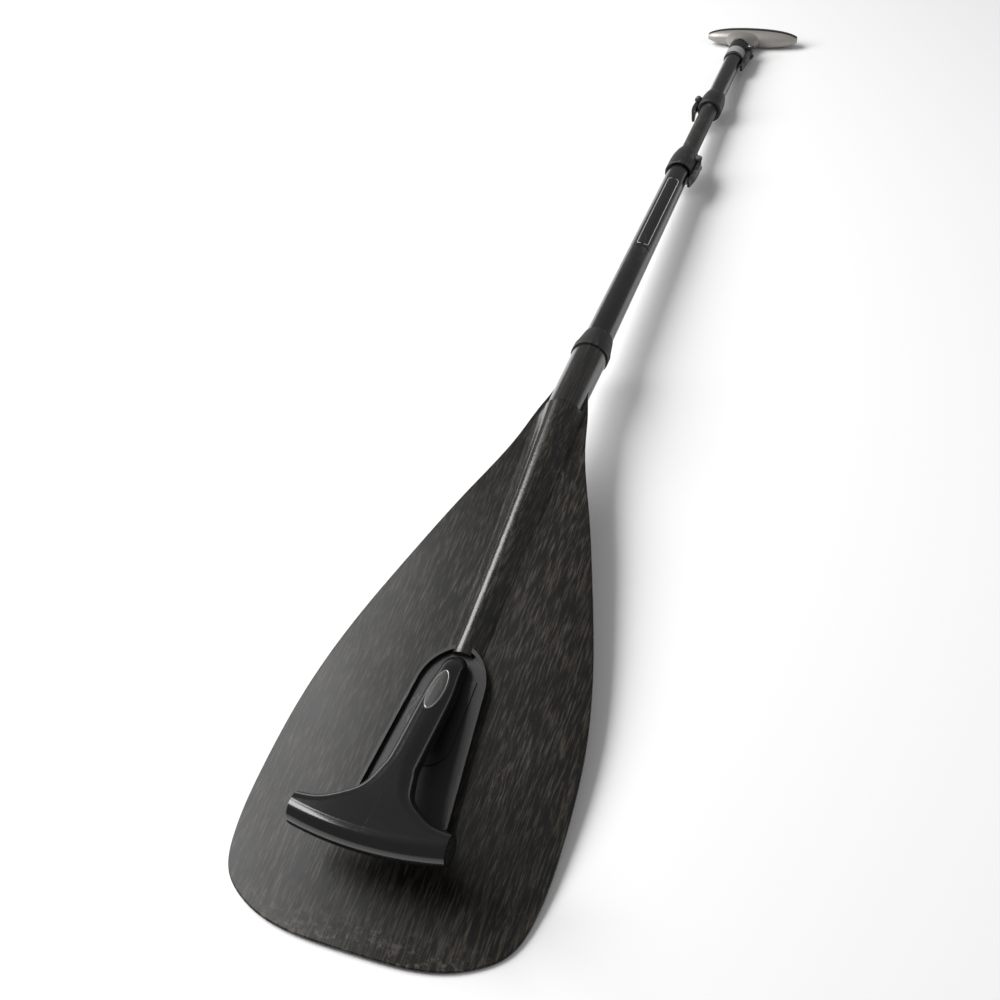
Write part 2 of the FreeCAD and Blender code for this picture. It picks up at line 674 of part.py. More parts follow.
def rest_angle(parts):
    """Angle about X at which the blade and the T-handle both touch a level floor."""
    angle = 0.0
    for _ in range(4):
        blade = leant(parts["blade"], angle).optimalBoundingBox()
        handle = leant(parts["handle_finger_shell"], angle).optimalBoundingBox()
        span = HANDLE_Y - BLADE_TIP
        angle += math.degrees(math.atan((blade.ZMin - handle.ZMin) / span))
    return angle


def rest_shift(parts, angle):
    """Move that puts the middle of the leant paddle's footprint at the origin."""
    boxes = [leant(shape, angle).optimalBoundingBox() for shape in parts.values()]
    middle_x = (min(box.XMin for box in boxes) + max(box.XMax for box in boxes)) / 2
    middle_y = (min(box.YMin for box in boxes) + max(box.YMax for box in boxes)) / 2
    return V(-middle_x, -middle_y, -min(box.ZMin for box in boxes))


def main():
    os.makedirs("parts", exist_ok=True)
    parts = build()
    angle = rest_angle(parts)
    shift = rest_shift(parts, angle)
    for name, shape in parts.items():
        final = leant(shape, angle)
        final.translate(shift)
        final.exportStep("parts/" + name + ".step")
        print(name, len(final.Solids), final.isValid(), round(final.Volume / 1000, 2))
    print("lean", round(angle, 4), "shift", shift)


main()
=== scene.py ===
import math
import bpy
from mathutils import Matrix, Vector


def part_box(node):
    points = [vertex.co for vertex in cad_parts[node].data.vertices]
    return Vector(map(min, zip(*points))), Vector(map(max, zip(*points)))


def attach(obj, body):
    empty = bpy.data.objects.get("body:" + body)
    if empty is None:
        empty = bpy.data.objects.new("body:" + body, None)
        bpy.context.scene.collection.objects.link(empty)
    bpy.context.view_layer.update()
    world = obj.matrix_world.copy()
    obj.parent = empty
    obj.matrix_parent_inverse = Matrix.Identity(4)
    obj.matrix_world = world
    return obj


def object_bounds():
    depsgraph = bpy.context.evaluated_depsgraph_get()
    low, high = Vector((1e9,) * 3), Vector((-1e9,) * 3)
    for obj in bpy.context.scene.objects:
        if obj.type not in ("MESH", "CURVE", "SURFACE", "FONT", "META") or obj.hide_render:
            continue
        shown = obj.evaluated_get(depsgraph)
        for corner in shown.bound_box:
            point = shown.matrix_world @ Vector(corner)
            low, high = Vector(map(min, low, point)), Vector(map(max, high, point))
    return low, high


bl_info = {
    "name": "Adjustable paddle finishes",
    "version": (1, 0, 0),
    "blender": (4, 5, 0),
    "location": "3D View > Sidebar > Paddle",
    "description": "Finishes, small trim and a studio for an adjustable single blade paddle",
    "category": "Object",
}

import bpy
from bpy.props import FloatProperty, FloatVectorProperty, PointerProperty
from mathutils import Quaternion, Vector
from mathutils.bvhtree import BVHTree

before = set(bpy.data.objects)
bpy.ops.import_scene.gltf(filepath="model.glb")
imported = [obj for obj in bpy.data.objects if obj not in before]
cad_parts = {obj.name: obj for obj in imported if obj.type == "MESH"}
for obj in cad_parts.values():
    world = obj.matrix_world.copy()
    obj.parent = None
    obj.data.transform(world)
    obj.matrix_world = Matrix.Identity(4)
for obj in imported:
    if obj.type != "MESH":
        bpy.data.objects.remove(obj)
CAD_BOX = [list(corner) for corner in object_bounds()]

CLAMPS = ("lower_clamp", "middle_clamp", "top_clamp")
BLACK = (0.0, 0.0, 0.0, 1.0)
WHITE = (1.0, 1.0, 1.0, 1.0)

# The glossy spine on the blade, in metres: where it starts and ends along the paddle, half of its
# width at both places, and the bands over which it fades out at its side and at its foot.
RIDGE_TOP, RIDGE_FOOT = -0.164, -0.438
RIDGE_TOP_HALF, RIDGE_FOOT_HALF = 0.019, 0.0125
RIDGE_FADE = 0.003
RIDGE_FOOT_FADE = 0.01
RIDGE_ROUGHNESS = 0.24

# Numbers that every finish has in common.
PATCHY_LOW, PATCHY_HIGH = 0.45, 1.15
PORE_SHADE, CLOUD_SHADE, DUST_SHADE = 0.5, 0.16, 0.05
DUST_COLOUR = (0.5, 0.48, 0.45, 1.0)
SCUFF_ROUGHENS, PORE_ROUGHENS = 0.25, 0.06
SCRATCH_DEPTH = 0.00002
TIP_WEAR_REACH = 0.03
CHIP_SCALE, CHIP_LOW, CHIP_HIGH = 160.0, 0.5, 0.62

# Handling wear: the level at which patches start and how far a full cover lowers it, the turn and
# squeeze of each set of scratches, and the scales of dust and cloud.
PATCH_LEVEL, PATCH_COVER, PATCH_BAND = 0.75, 0.35, 0.12
SCRATCH_LAYS = ((0.5, 0.12), (-0.9, 0.08))
SCRATCH_WIDTH = 0.012
DUST_SCALE, CLOUD_SCALE = 620.0, 9.0

# The label's outline: radius of its corners, steps in a long side, and how many margins it keeps
# from the label's ends and from its right side.
LABEL_CORNER = 0.0025
LABEL_STEPS, LABEL_CORNER_STEPS = 40, 4
LABEL_LONG_SIDE = 0.01
LABEL_END_MARGINS, LABEL_RIGHT_MARGINS = 2, 1.6

# The grip's mould line: its distance from the shell's end and from the badge, and how far it sinks.
MOULD_END_GAP, MOULD_BADGE_GAP = 0.010, 0.002
MOULD_SIDE = 0.0001
MOULD_SUNK = 0.6
MOULD_STEPS, BADGE_STEPS = 48, 64

BEAD_SIDES = 8
DROP_HEIGHT = 0.5

# The studio: camera, lamps and floor. The back lamp takes a share of the key lamp's power.
CAMERA_PLACE, CAMERA_TARGET = (0.3086, -0.9497, 0.8113), (-0.0415, -0.2442, 0.0)
CAMERA_SENSOR = 36.0
LAMP_TARGET = (0.0, -0.15, 0.0)
KEY_PLACE, KEY_SIZE = (-1.9, -0.3, 1.7), (1.2, 2.0)
BACK_PLACE, BACK_SIZE = (-1.6, 0.7, 1.9), (0.6, 1.0)
FILL_PLACE, FILL_SIZE = (2.0, -0.3, 1.0), (0.3, 1.8)
BACK_SHARE = 0.24
FLOOR_REACH = 6.0
FLOOR_COLOUR, FLOOR_ROUGHNESS = (0.93, 0.93, 0.93, 1.0), 0.8


# ------------------------------------------------------------------ node helpers
def node(tree, kind, inputs=None, **settings):
    """A node with its settings made and its inputs filled or linked."""
    made = tree.nodes.new(kind)
    for name, value in settings.items():
        setattr(made, name, value)
    for key, value in (inputs or {}).items():
        if isinstance(value, bpy.types.NodeSocket):
            tree.links.new(value, made.inputs[key])
        else:
            made.inputs[key].default_value = value
    return made


def maths(tree, operation, a, b=0.0):
    return node(tree, "ShaderNodeMath", {0: a, 1: b}, operation=operation).outputs[0]


def remap(tree, value, low, high, to_low=0.0, to_high=1.0):
    """Value taken from one range to another, held at both ends."""
    inputs = {"Value": value, "From Min": low, "From Max": high, "To Min": to_low, "To Max": to_high}
    return node(tree, "ShaderNodeMapRange", inputs).outputs["Result"]


def noise(tree, vector, scale, detail=4.0, roughness=0.55, distortion=0.0):
    inputs = {"Vector": vector, "Scale": scale, "Detail": detail,
              "Roughness": roughness, "Distortion": distortion}
    return node(tree, "ShaderNodeTexNoise", inputs).outputs["Fac"]


def mix_colour(tree, factor, a, b):
    return node(tree, "ShaderNodeMix", {0: factor, 6: a, 7: b}, data_type="RGBA").outputs[2]


def new_group(name, kind, inputs, outputs):
    """An empty node group with named sockets, and its two end nodes."""
    group = bpy.data.node_groups.new(name, kind)
    for label, socket, value in inputs:
        made = group.interface.new_socket(name=label, in_out="INPUT", socket_type=socket)
        if value is not None:
            made.default_value = value
    for label, socket in outputs:
        group.interface.new_socket(name=label, in_out="OUTPUT", socket_type=socket)
    return group, group.nodes.new("NodeGroupInput"), group.nodes.new("NodeGroupOutput")


def floats(*pairs):
    return [(label, "NodeSocketFloat", value) for label, value in pairs]


# ------------------------------------------------------------------ shared effects
def grain_group():
    """Streaks drawn out along or across the paddle, and fine dark pores."""
    name = "Lengthwise grain"
    if name in bpy.data.node_groups:
        return bpy.data.node_groups[name]
    inputs = floats(("Across", 300.0), ("Along", 6.0), ("Spread", 0.12), ("Middle", 0.5), ("Waver", 0.2))
    outputs = [("Streak", "NodeSocketFloat"), ("Pore", "NodeSocketFloat")]
    tree, start, end = new_group(name, "ShaderNodeTree", inputs, outputs)
    place = node(tree, "ShaderNodeTexCoord").outputs["Object"]
    sides = start.outputs
    stretch = node(tree, "ShaderNodeCombineXYZ",
                   {0: sides["Across"], 1: sides["Along"], 2: sides["Across"]})
    drawn = node(tree, "ShaderNodeVectorMath", {0: place, 1: stretch.outputs[0]}, operation="MULTIPLY")
    lines = noise(tree, drawn.outputs[0], 1.0, 8.0, 0.62, sides["Waver"])
    low = maths(tree, "SUBTRACT", sides["Middle"], sides["Spread"])
    high = maths(tree, "ADD", sides["Middle"], sides["Spread"])
    tree.links.new(remap(tree, lines, low, high), end.inputs["Streak"])
    fine = noise(tree, drawn.outputs[0], 3.7, 5.0, 0.7, 0.0)
    tree.links.new(remap(tree, fine, 0.55, 0.72), end.inputs["Pore"])
    return tree


def wear_group():
    """Fine crossing scratches gathered in patches, soft dust, and a slow cloud of light and dark."""
    name = "Handling wear"
    if name in bpy.data.node_groups:
        return bpy.data.node_groups[name]
    inputs = floats(("Patch scale", 14.0), ("Scratch scale", 90.0), ("Cover", 0.5))
    outputs = [("Scuff", "NodeSocketFloat"), ("Dust", "NodeSocketFloat"), ("Cloud", "NodeSocketFloat")]
    tree, start, end = new_group(name, "ShaderNodeTree", inputs, outputs)
    place = node(tree, "ShaderNodeTexCoord").outputs["Object"]
    patch = noise(tree, place, start.outputs["Patch scale"], 5.0, 0.6)
    lowered = maths(tree, "MULTIPLY", start.outputs["Cover"], PATCH_COVER)
    floor_level = maths(tree, "SUBTRACT", PATCH_LEVEL, lowered)
    patches = remap(tree, patch, floor_level, maths(tree, "ADD", floor_level, PATCH_BAND))
    scratches = 0.0
    for turn, squeeze in SCRATCH_LAYS:
        inputs = {"Vector": place, "Rotation": (0.2, 0.1, turn), "Scale": (1.0, squeeze, 1.0)}
        laid = node(tree, "ShaderNodeMapping", inputs).outputs[0]
        field = noise(tree, laid, start.outputs["Scratch scale"], 3.0, 0.5, 0.3)
        thin = maths(tree, "ABSOLUTE", maths(tree, "SUBTRACT", field, 0.5))
        scratches = maths(tree, "MAXIMUM", remap(tree, thin, 0.0, SCRATCH_WIDTH, 1.0, 0.0), scratches)
    tree.links.new(maths(tree, "MULTIPLY", patches, scratches), end.inputs["Scuff"])
    dust = noise(tree, place, DUST_SCALE, 4.0, 0.7)
    tree.links.new(maths(tree, "MULTIPLY", remap(tree, dust, 0.56, 0.8), remap(tree, patch, 0.4, 0.7)),
                   end.inputs["Dust"])
    tree.links.new(remap(tree, noise(tree, place, CLOUD_SCALE, 3.0, 0.5), 0.3, 0.7), end.inputs["Cloud"])
    return tree


def moulded_group():
    """Fine pebbled skin of a moulded plastic."""
    name = "Moulded skin"
    if name in bpy.data.node_groups:
        return bpy.data.node_groups[name]
    tree, start, end = new_group(name, "ShaderNodeTree", floats(("Scale", 1500.0)),
                                 [("Height", "NodeSocketFloat")])
    place = node(tree, "ShaderNodeTexCoord").outputs["Object"]
    inputs = {"Vector": place, "Scale": start.outputs["Scale"]}
    cells = node(tree, "ShaderNodeTexVoronoi", inputs, feature="SMOOTH_F1").outputs["Distance"]
    grit = noise(tree, place, maths(tree, "MULTIPLY", start.outputs["Scale"], 2.3), 2.0)
    tree.links.new(maths(tree, "ADD", cells, maths(tree, "MULTIPLY", grit, 0.4)), end.inputs["Height"])
    return tree


def use_group(tree, group, values):
    return node(tree, "ShaderNodeGroup", values, node_tree=group).outputs


# ------------------------------------------------------------------ finishes
def opaque(colour):
    return (colour[0], colour[1], colour[2], 1.0)


def ridge_mask(tree):
    """One on the raised spine that runs down the middle of the blade, none beside it."""
    place = node(tree, "ShaderNodeTexCoord").outputs["Object"]
    parts = node(tree, "ShaderNodeSeparateXYZ", {0: place}).outputs
    side = maths(tree, "ABSOLUTE", parts["X"])
    half = remap(tree, parts["Y"], RIDGE_FOOT, RIDGE_TOP, RIDGE_FOOT_HALF, RIDGE_TOP_HALF)
    past = maths(tree, "SUBTRACT", side, half)
    across = remap(tree, past, 0.0, RIDGE_FADE, 1.0, 0.0)
    return maths(tree, "MULTIPLY", across, remap(tree, parts["Y"], RIDGE_FOOT - RIDGE_FOOT_FADE, RIDGE_FOOT))


def finish(name, base, accent, grain, strength, rough, skin=1500.0, skin_depth=0.00002,
           grain_depth=0.0, scuff=0.25, cover=0.5, scuff_colour=(0.3, 0.29, 0.27), patch=14.0,
           coat=0.0, coat_rough=0.1, metallic=0.0, tip_wear=0.0, ridge_coat=0.0, gloss_level=0.5):
    """A finish made of grain, a moulded skin and handling wear.

    grain holds the grain's scale across and along the paddle, its spread and its middle level,
    and rough the lowest and highest roughness. Depths are in metres.
    """
    material = bpy.data.materials.new(name)
    material.use_nodes = True
    tree = material.node_tree
    shader = tree.nodes["Principled BSDF"]
    across, along, spread, middle = grain
    lines = use_group(tree, grain_group(),
                      {"Across": across, "Along": along, "Spread": spread, "Middle": middle})
    worn = use_group(tree, wear_group(), {"Patch scale": patch, "Cover": cover})
    pebbles = use_group(tree, moulded_group(), {"Scale": skin})
    patchy = remap(tree, worn["Cloud"], 0.0, 1.0, PATCHY_LOW * strength, PATCHY_HIGH * strength)
    colour = mix_colour(tree, maths(tree, "MULTIPLY", lines["Streak"], patchy), opaque(base), opaque(accent))
    dark = maths(tree, "MULTIPLY", lines["Pore"], PORE_SHADE * strength)
    colour = mix_colour(tree, dark, colour, BLACK)
    cloud = remap(tree, worn["Cloud"], 0.0, 1.0, 0.0, CLOUD_SHADE)
    colour = mix_colour(tree, cloud, colour, BLACK)
    mask = maths(tree, "MULTIPLY", worn["Scuff"], scuff)
    if tip_wear:
        place = node(tree, "ShaderNodeTexCoord").outputs["Object"]
        along_paddle = node(tree, "ShaderNodeSeparateXYZ", {0: place}).outputs["Y"]
        start = CAD_BOX[0][1]
        near_tip = remap(tree, along_paddle, start + TIP_WEAR_REACH, start, 0.0, tip_wear)
        chips = remap(tree, noise(tree, place, CHIP_SCALE, 5.0, 0.7), CHIP_LOW, CHIP_HIGH)
        mask = maths(tree, "MAXIMUM", mask, maths(tree, "MULTIPLY", near_tip, chips))
    colour = mix_colour(tree, mask, colour, opaque(scuff_colour))
    dusty = maths(tree, "MULTIPLY", worn["Dust"], DUST_SHADE)
    colour = mix_colour(tree, dusty, colour, DUST_COLOUR)
    tree.links.new(colour, shader.inputs["Base Color"])
    roughness = remap(tree, worn["Cloud"], 0.0, 1.0, rough[0], rough[1])
    roughness = maths(tree, "ADD", roughness, maths(tree, "MULTIPLY", mask, SCUFF_ROUGHENS))
    roughness = maths(tree, "ADD", roughness, maths(tree, "MULTIPLY", lines["Pore"], PORE_ROUGHENS))
    if ridge_coat:
        ridge = ridge_mask(tree)
        roughness = node(tree, "ShaderNodeMix", {0: ridge, 2: roughness, 3: RIDGE_ROUGHNESS}).outputs[0]
        tree.links.new(remap(tree, ridge, 0.0, 1.0, coat, ridge_coat), shader.inputs["Coat Weight"])
    tree.links.new(roughness, shader.inputs["Roughness"])
    height = maths(tree, "MULTIPLY", pebbles["Height"], skin_depth)
    height = maths(tree, "ADD", height, maths(tree, "MULTIPLY", lines["Streak"], grain_depth))
    height = maths(tree, "SUBTRACT", height, maths(tree, "MULTIPLY", worn["Scuff"], SCRATCH_DEPTH))
    bump = node(tree, "ShaderNodeBump", {"Height": height, "Distance": 1.0, "Strength": 1.0})
    tree.links.new(bump.outputs["Normal"], shader.inputs["Normal"])
    shader.inputs["Metallic"].default_value = metallic
    shader.inputs["Specular IOR Level"].default_value = gloss_level
    shader.inputs["Coat Weight"].default_value = coat
    shader.inputs["Coat Roughness"].default_value = coat_rough
    return material


def paint(material, *names):
    """Gives CAD nodes their finish."""
    for name in names:
        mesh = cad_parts[name].data
        if not mesh.materials:
            mesh.materials.append(material)
        for index in range(len(mesh.materials)):
            mesh.materials[index] = material


# ------------------------------------------------------------------ small trim
def surface_of(name):
    """Search tree of a CAD node's surface."""
    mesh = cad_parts[name].data
    points = [vertex.co.copy() for vertex in mesh.vertices]
    faces = [tuple(polygon.vertices) for polygon in mesh.polygons]
    return BVHTree.FromPolygons(points, faces)


def dropped(surface, x, y):
    """Where a line straight down at x, y first meets a surface, or None."""
    return surface.ray_cast(Vector((x, y, DROP_HEIGHT)), Vector((0, 0, -1)))[0]


def bead_tree():
    """Geometry nodes that run a round bead along an edge path."""
    name = "Bead along a path"
    if name in bpy.data.node_groups:
        return bpy.data.node_groups[name]
    inputs = [("Path", "NodeSocketGeometry", None), ("Radius", "NodeSocketFloat", 0.0003),
              ("Sides", "NodeSocketInt", BEAD_SIDES), ("Finish", "NodeSocketMaterial", None)]
    tree, start, end = new_group(name, "GeometryNodeTree", inputs, [("Bead", "NodeSocketGeometry")])
    path = node(tree, "GeometryNodeMeshToCurve", {0: start.outputs["Path"]})
    ring = node(tree, "GeometryNodeCurvePrimitiveCircle",
                {"Resolution": start.outputs["Sides"], "Radius": start.outputs["Radius"]})
    bead = node(tree, "GeometryNodeCurveToMesh", {"Curve": path.outputs[0], "Profile Curve": ring.outputs[0],
                                                  "Fill Caps": True})
    solid = node(tree, "GeometryNodeRealizeInstances", {0: bead.outputs[0]})
    painted = node(tree, "GeometryNodeSetMaterial",
                   {"Geometry": solid.outputs[0], "Material": start.outputs["Finish"]})
    tree.links.new(painted.outputs[0], end.inputs["Bead"])
    return tree


def bead(name, points, closed, radius, material, body, slot):
    """A bead laid along points, as a plain mesh that rides on a body."""
    count = len(points)
    edges = [(i, (i + 1) % count) for i in range(count if closed else count - 1)]
    mesh = bpy.data.meshes.new(name)
    mesh.from_pydata(points, edges, [])
    source = bpy.data.objects.new(name + "_path", mesh)
    bpy.context.scene.collection.objects.link(source)
    modifier = source.modifiers.new("Bead", "NODES")
    modifier.node_group = bead_tree()
    keys = {item.name: item.identifier for item in modifier.node_group.interface.items_tree
            if item.in_out == "INPUT"}
    modifier[keys["Radius"]] = radius
    modifier[keys["Sides"]] = BEAD_SIDES
    modifier[keys["Finish"]] = material
    ready = source.evaluated_get(bpy.context.evaluated_depsgraph_get())
    made = bpy.data.meshes.new_from_object(ready)
    bpy.data.objects.remove(source)
    for polygon in made.polygons:
        polygon.use_smooth = True
    piece = bpy.data.objects.new(name, made)
    bpy.context.scene.collection.objects.link(piece)
    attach(piece, body)


# ------------------------------------------------------------------ settings
class PaddleColours(bpy.types.PropertyGroup):
    blade: FloatVectorProperty(name="Blade", description="Stained ground colour of the blade",
                               subtype="COLOR", default=(0.006, 0.0058, 0.0053), min=0, max=1)
    blade_grain: FloatVectorProperty(name="Blade grain", description="Pale streaks in the blade",
                                     subtype="COLOR", default=(0.15, 0.126, 0.096), min=0, max=1)
    tube: FloatVectorProperty(name="Gloss tube", description="Lower and upper tube",
                              subtype="COLOR", default=(0.005, 0.005, 0.005), min=0, max=1)
    matt_tube: FloatVectorProperty(name="Matt tube", description="Middle tube",
                                   subtype="COLOR", default=(0.022, 0.0215, 0.0205), min=0, max=1)
    clamp: FloatVectorProperty(name="Clamps", description="Clamp bodies, levers and throat collar",
                               subtype="COLOR", default=(0.014, 0.014, 0.0137), min=0, max=1)
    grip: FloatVectorProperty(name="Blade grip", description="Gloss shells of the grip on the blade",
                              subtype="COLOR", default=(0.0035, 0.0035, 0.0038), min=0, max=1)
    handle: FloatVectorProperty(name="Handle finger side", description="Light shell of the end handle",
                                subtype="COLOR", default=(0.36, 0.342, 0.318), min=0, max=1)


class PaddleTrim(bpy.types.PropertyGroup):
    label_margin: FloatProperty(name="Label margin",
                                description="Distance from the label's edge to its outline",
                                default=0.0022, min=0.001, max=0.006, unit="LENGTH")
    label_line: FloatProperty(name="Label line", description="Radius of the label's outline",
                              default=0.0004, min=0.0001, max=0.001, unit="LENGTH")
    mould_line: FloatProperty(name="Mould line", description="Radius of the line left by the grip's mould",
                              default=0.00024, min=0.0001, max=0.001, unit="LENGTH")
    badge_inset: FloatProperty(name="Badge rim inset",
                               description="Distance of the badge's rim from its edge",
                               default=0.0012, min=0.0005, max=0.004, unit="LENGTH")
    badge_line: FloatProperty(name="Badge rim", description="Radius of the badge's raised rim",
                              default=0.0004, min=0.0001, max=0.001, unit="LENGTH")


class PaddleStage(bpy.types.PropertyGroup):
    key_power: FloatProperty(name="Key light", description="Power of the large light on the left",
                             default=80.0, min=0, max=500, unit="POWER")
    fill_power: FloatProperty(name="Fill light", description="Power of the light on the right",
                              default=7.0, min=0, max=500, unit="POWER")
    sky: FloatProperty(name="Room light", description="Strength of the white room",
                       default=0.24, min=0, max=5)
    backdrop: FloatProperty(name="Backdrop", description="Brightness of the room behind the floor",
                            default=0.9, min=0, max=5)
    lens: FloatProperty(name="Lens", description="Focal length of the camera", default=43.2, min=10, max=200)
    roll: FloatProperty(name="Roll", description="Turn of the camera about its own line of sight",
                        default=math.radians(-9.41), subtype="ANGLE")


def settings():
    scene = bpy.context.scene
    return scene.paddle_colours, scene.paddle_trim, scene.paddle_stage


# ------------------------------------------------------------------ operators
class PADDLE_OT_blade(bpy.types.Operator):
    """Stained grain on the blade and gloss resin on its neck"""
    bl_idname = "paddle.blade"
    bl_label = "Blade and neck"

    def execute(self, context):
        colours = settings()[0]
        veneer = finish("Blade veneer", colours.blade, colours.blade_grain,
                        grain=(640.0, 7.0, 0.12, 0.60), strength=0.5, rough=(0.30, 0.42),
                        grain_depth=0.00003, gloss_level=0.2, skin=900.0, skin_depth=0.00001,
                        scuff=0.25, coat=0.07, coat_rough=0.2, tip_wear=0.4,
                        scuff_colour=(0.2, 0.175, 0.14), ridge_coat=0.8)
        gloss = finish("Neck resin", tuple(0.7 * c for c in colours.blade), colours.blade_grain,
                       grain=(640.0, 8.0, 0.12, 0.60), strength=0.4, rough=(0.2, 0.28),
                       skin_depth=0.000004, scuff=0.2, coat=0.8, coat_rough=0.18)
        sleeve = finish("Bonded sleeve", (0.05, 0.05, 0.05), (0.09, 0.09, 0.09),
                        grain=(900.0, 40.0, 0.1, 0.5), strength=0.5, rough=(0.4, 0.55))
        paint(veneer, "blade")
        paint(gloss, "blade_neck")
        paint(sleeve, "blade_ferrule")
        return {"FINISHED"}


class PADDLE_OT_tubes(bpy.types.Operator):
    """Gloss and matt composite tubes of the shaft"""
    bl_idname = "paddle.tubes"
    bl_label = "Tubes"

    def execute(self, context):
        colours = settings()[0]
        gloss = finish("Tube gloss", colours.tube, (0.02, 0.019, 0.0175),
                       grain=(700.0, 16.0, 0.12, 0.58), strength=0.5, rough=(0.2, 0.3),
                       skin_depth=0.000005, scuff=0.25, coat=0.5, coat_rough=0.12, grain_depth=0.000006)
        matt = finish("Tube matt", colours.matt_tube, (0.05, 0.049, 0.046),
                      grain=(60.0, 900.0, 0.14, 0.56), strength=0.45, rough=(0.45, 0.58),
                      skin_depth=0.000012, scuff=0.35, cover=0.8, patch=26.0)
        bush = finish("Bearing plastic", (0.11, 0.11, 0.11), (0.16, 0.16, 0.155),
                      grain=(500.0, 300.0, 0.1, 0.5), strength=0.4, rough=(0.4, 0.5))
        paint(gloss, "lower_shaft", "upper_shaft")
        paint(matt, "middle_shaft", "handle_stem")
        paint(bush, "lower_guide_bush", "middle_foot_bush")
        return {"FINISHED"}


class PADDLE_OT_label(bpy.types.Operator):
    """Plain label with a fine pale outline"""
    bl_idname = "paddle.label"
    bl_label = "Label"

    def execute(self, context):
        trim = settings()[1]
        film = finish("Label film", (0.008, 0.008, 0.008), (0.02, 0.02, 0.019),
                      grain=(600.0, 500.0, 0.15, 0.55), strength=0.3, rough=(0.25, 0.35),
                      skin_depth=0.000004, coat=0.3)
        ink = finish("Label outline", (0.62, 0.61, 0.58), (0.45, 0.44, 0.42),
                     grain=(900.0, 200.0, 0.12, 0.5), strength=0.5, rough=(0.4, 0.5), scuff=0.5)
        paint(film, "shaft_label")
        surface = surface_of("shaft_label")
        low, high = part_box("shaft_label")
        start = low[1] + LABEL_END_MARGINS * trim.label_margin
        stop = high[1] - LABEL_END_MARGINS * trim.label_margin
        left, right = low[0] + trim.label_margin, high[0] - LABEL_RIGHT_MARGINS * trim.label_margin
        path = []
        for x, y, turn in ((right, stop, 0), (left, stop, 90), (left, start, 180), (right, start, 270)):
            cx = x - LABEL_CORNER if x == right else x + LABEL_CORNER
            cy = y - LABEL_CORNER if y == stop else y + LABEL_CORNER
            for i in range(LABEL_CORNER_STEPS + 1):
                angle = math.radians(turn + 90 / LABEL_CORNER_STEPS * i)
                path.append((cx + LABEL_CORNER * math.cos(angle), cy + LABEL_CORNER * math.sin(angle)))
        outline = []
        for i, (x, y) in enumerate(path):
            nx, ny = path[(i + 1) % len(path)]
            steps = LABEL_STEPS if math.hypot(nx - x, ny - y) > LABEL_LONG_SIDE else 1
            for k in range(steps):
                hit = dropped(surface, x + (nx - x) * k / steps, y + (ny - y) * k / steps)
                if hit is not None:
                    outline.append(hit)
        bead("label_outline", outline, True, trim.label_line, ink, "blade_section", "label")
        return {"FINISHED"}


class PADDLE_OT_clamps(bpy.types.Operator):
    """Moulded clamps with steel fixings, the throat collar and the light ring"""
    bl_idname = "paddle.clamps"
    bl_label = "Clamps and collar"

    def execute(self, context):
        colours = settings()[0]
        body = finish("Clamp plastic", colours.clamp, (0.028, 0.0276, 0.0265),
                      grain=(200.0, 160.0, 0.2, 0.55), strength=0.4, rough=(0.48, 0.6), skin=1700.0,
                      skin_depth=0.00005, scuff=0.45, cover=0.7, patch=40.0)
        lever = finish("Lever plastic", tuple(1.1 * c for c in colours.clamp), (0.032, 0.0315, 0.03),
                       grain=(200.0, 160.0, 0.2, 0.55), strength=0.4, rough=(0.38, 0.5), skin=2100.0,
                       skin_depth=0.00003, scuff=0.6, cover=0.8, patch=60.0)
        steel = finish("Fixing steel", (0.42, 0.41, 0.39), (0.28, 0.27, 0.26),
                       grain=(2400.0, 300.0, 0.2, 0.5), strength=0.6, rough=(0.24, 0.36),
                       skin_depth=0.00001, metallic=1.0, scuff=0.3)
        ring = finish("Light ring", (0.36, 0.36, 0.38), (0.28, 0.28, 0.3),
                      grain=(500.0, 400.0, 0.2, 0.5), strength=0.4, rough=(0.35, 0.45), scuff=0.4)
        pad = finish("Pad plastic", (0.13, 0.13, 0.125), (0.18, 0.18, 0.17),
                     grain=(300.0, 300.0, 0.2, 0.5), strength=0.4, rough=(0.45, 0.55))
        paint(body, "throat_collar", *[clamp + "_body" for clamp in CLAMPS])
        paint(lever, *[clamp + "_lever" for clamp in CLAMPS])
        paint(steel, *[clamp + end for clamp in CLAMPS for end in ("_bolt", "_nut")])
        paint(pad, *[clamp + "_shoe" for clamp in CLAMPS])
        paint(ring, "top_clamp_band")
        return {"FINISHED"}


class PADDLE_OT_handle(bpy.types.Operator):
    """Light finger side and dark palm side of the end handle"""
    bl_idname = "paddle.handle"
    bl_label = "End handle"

    def execute(self, context):
        colours = settings()[0]
        light = finish("Handle satin", colours.handle, tuple(0.72 * c for c in colours.handle),
                       grain=(90.0, 900.0, 0.16, 0.54), strength=0.5, rough=(0.32, 0.44),
                       skin_depth=0.000012, scuff=0.25, scuff_colour=(0.25, 0.24, 0.23), metallic=0.35)
        dark = finish("Handle palm", (0.012, 0.012, 0.012), (0.026, 0.026, 0.025),
                      grain=(120.0, 500.0, 0.16, 0.55), strength=0.4, rough=(0.3, 0.42), skin=1400.0,
                      skin_depth=0.00003, scuff=0.4)
        paint(light, "handle_finger_shell")
        paint(dark, "handle_palm_shell")
        return {"FINISHED"}


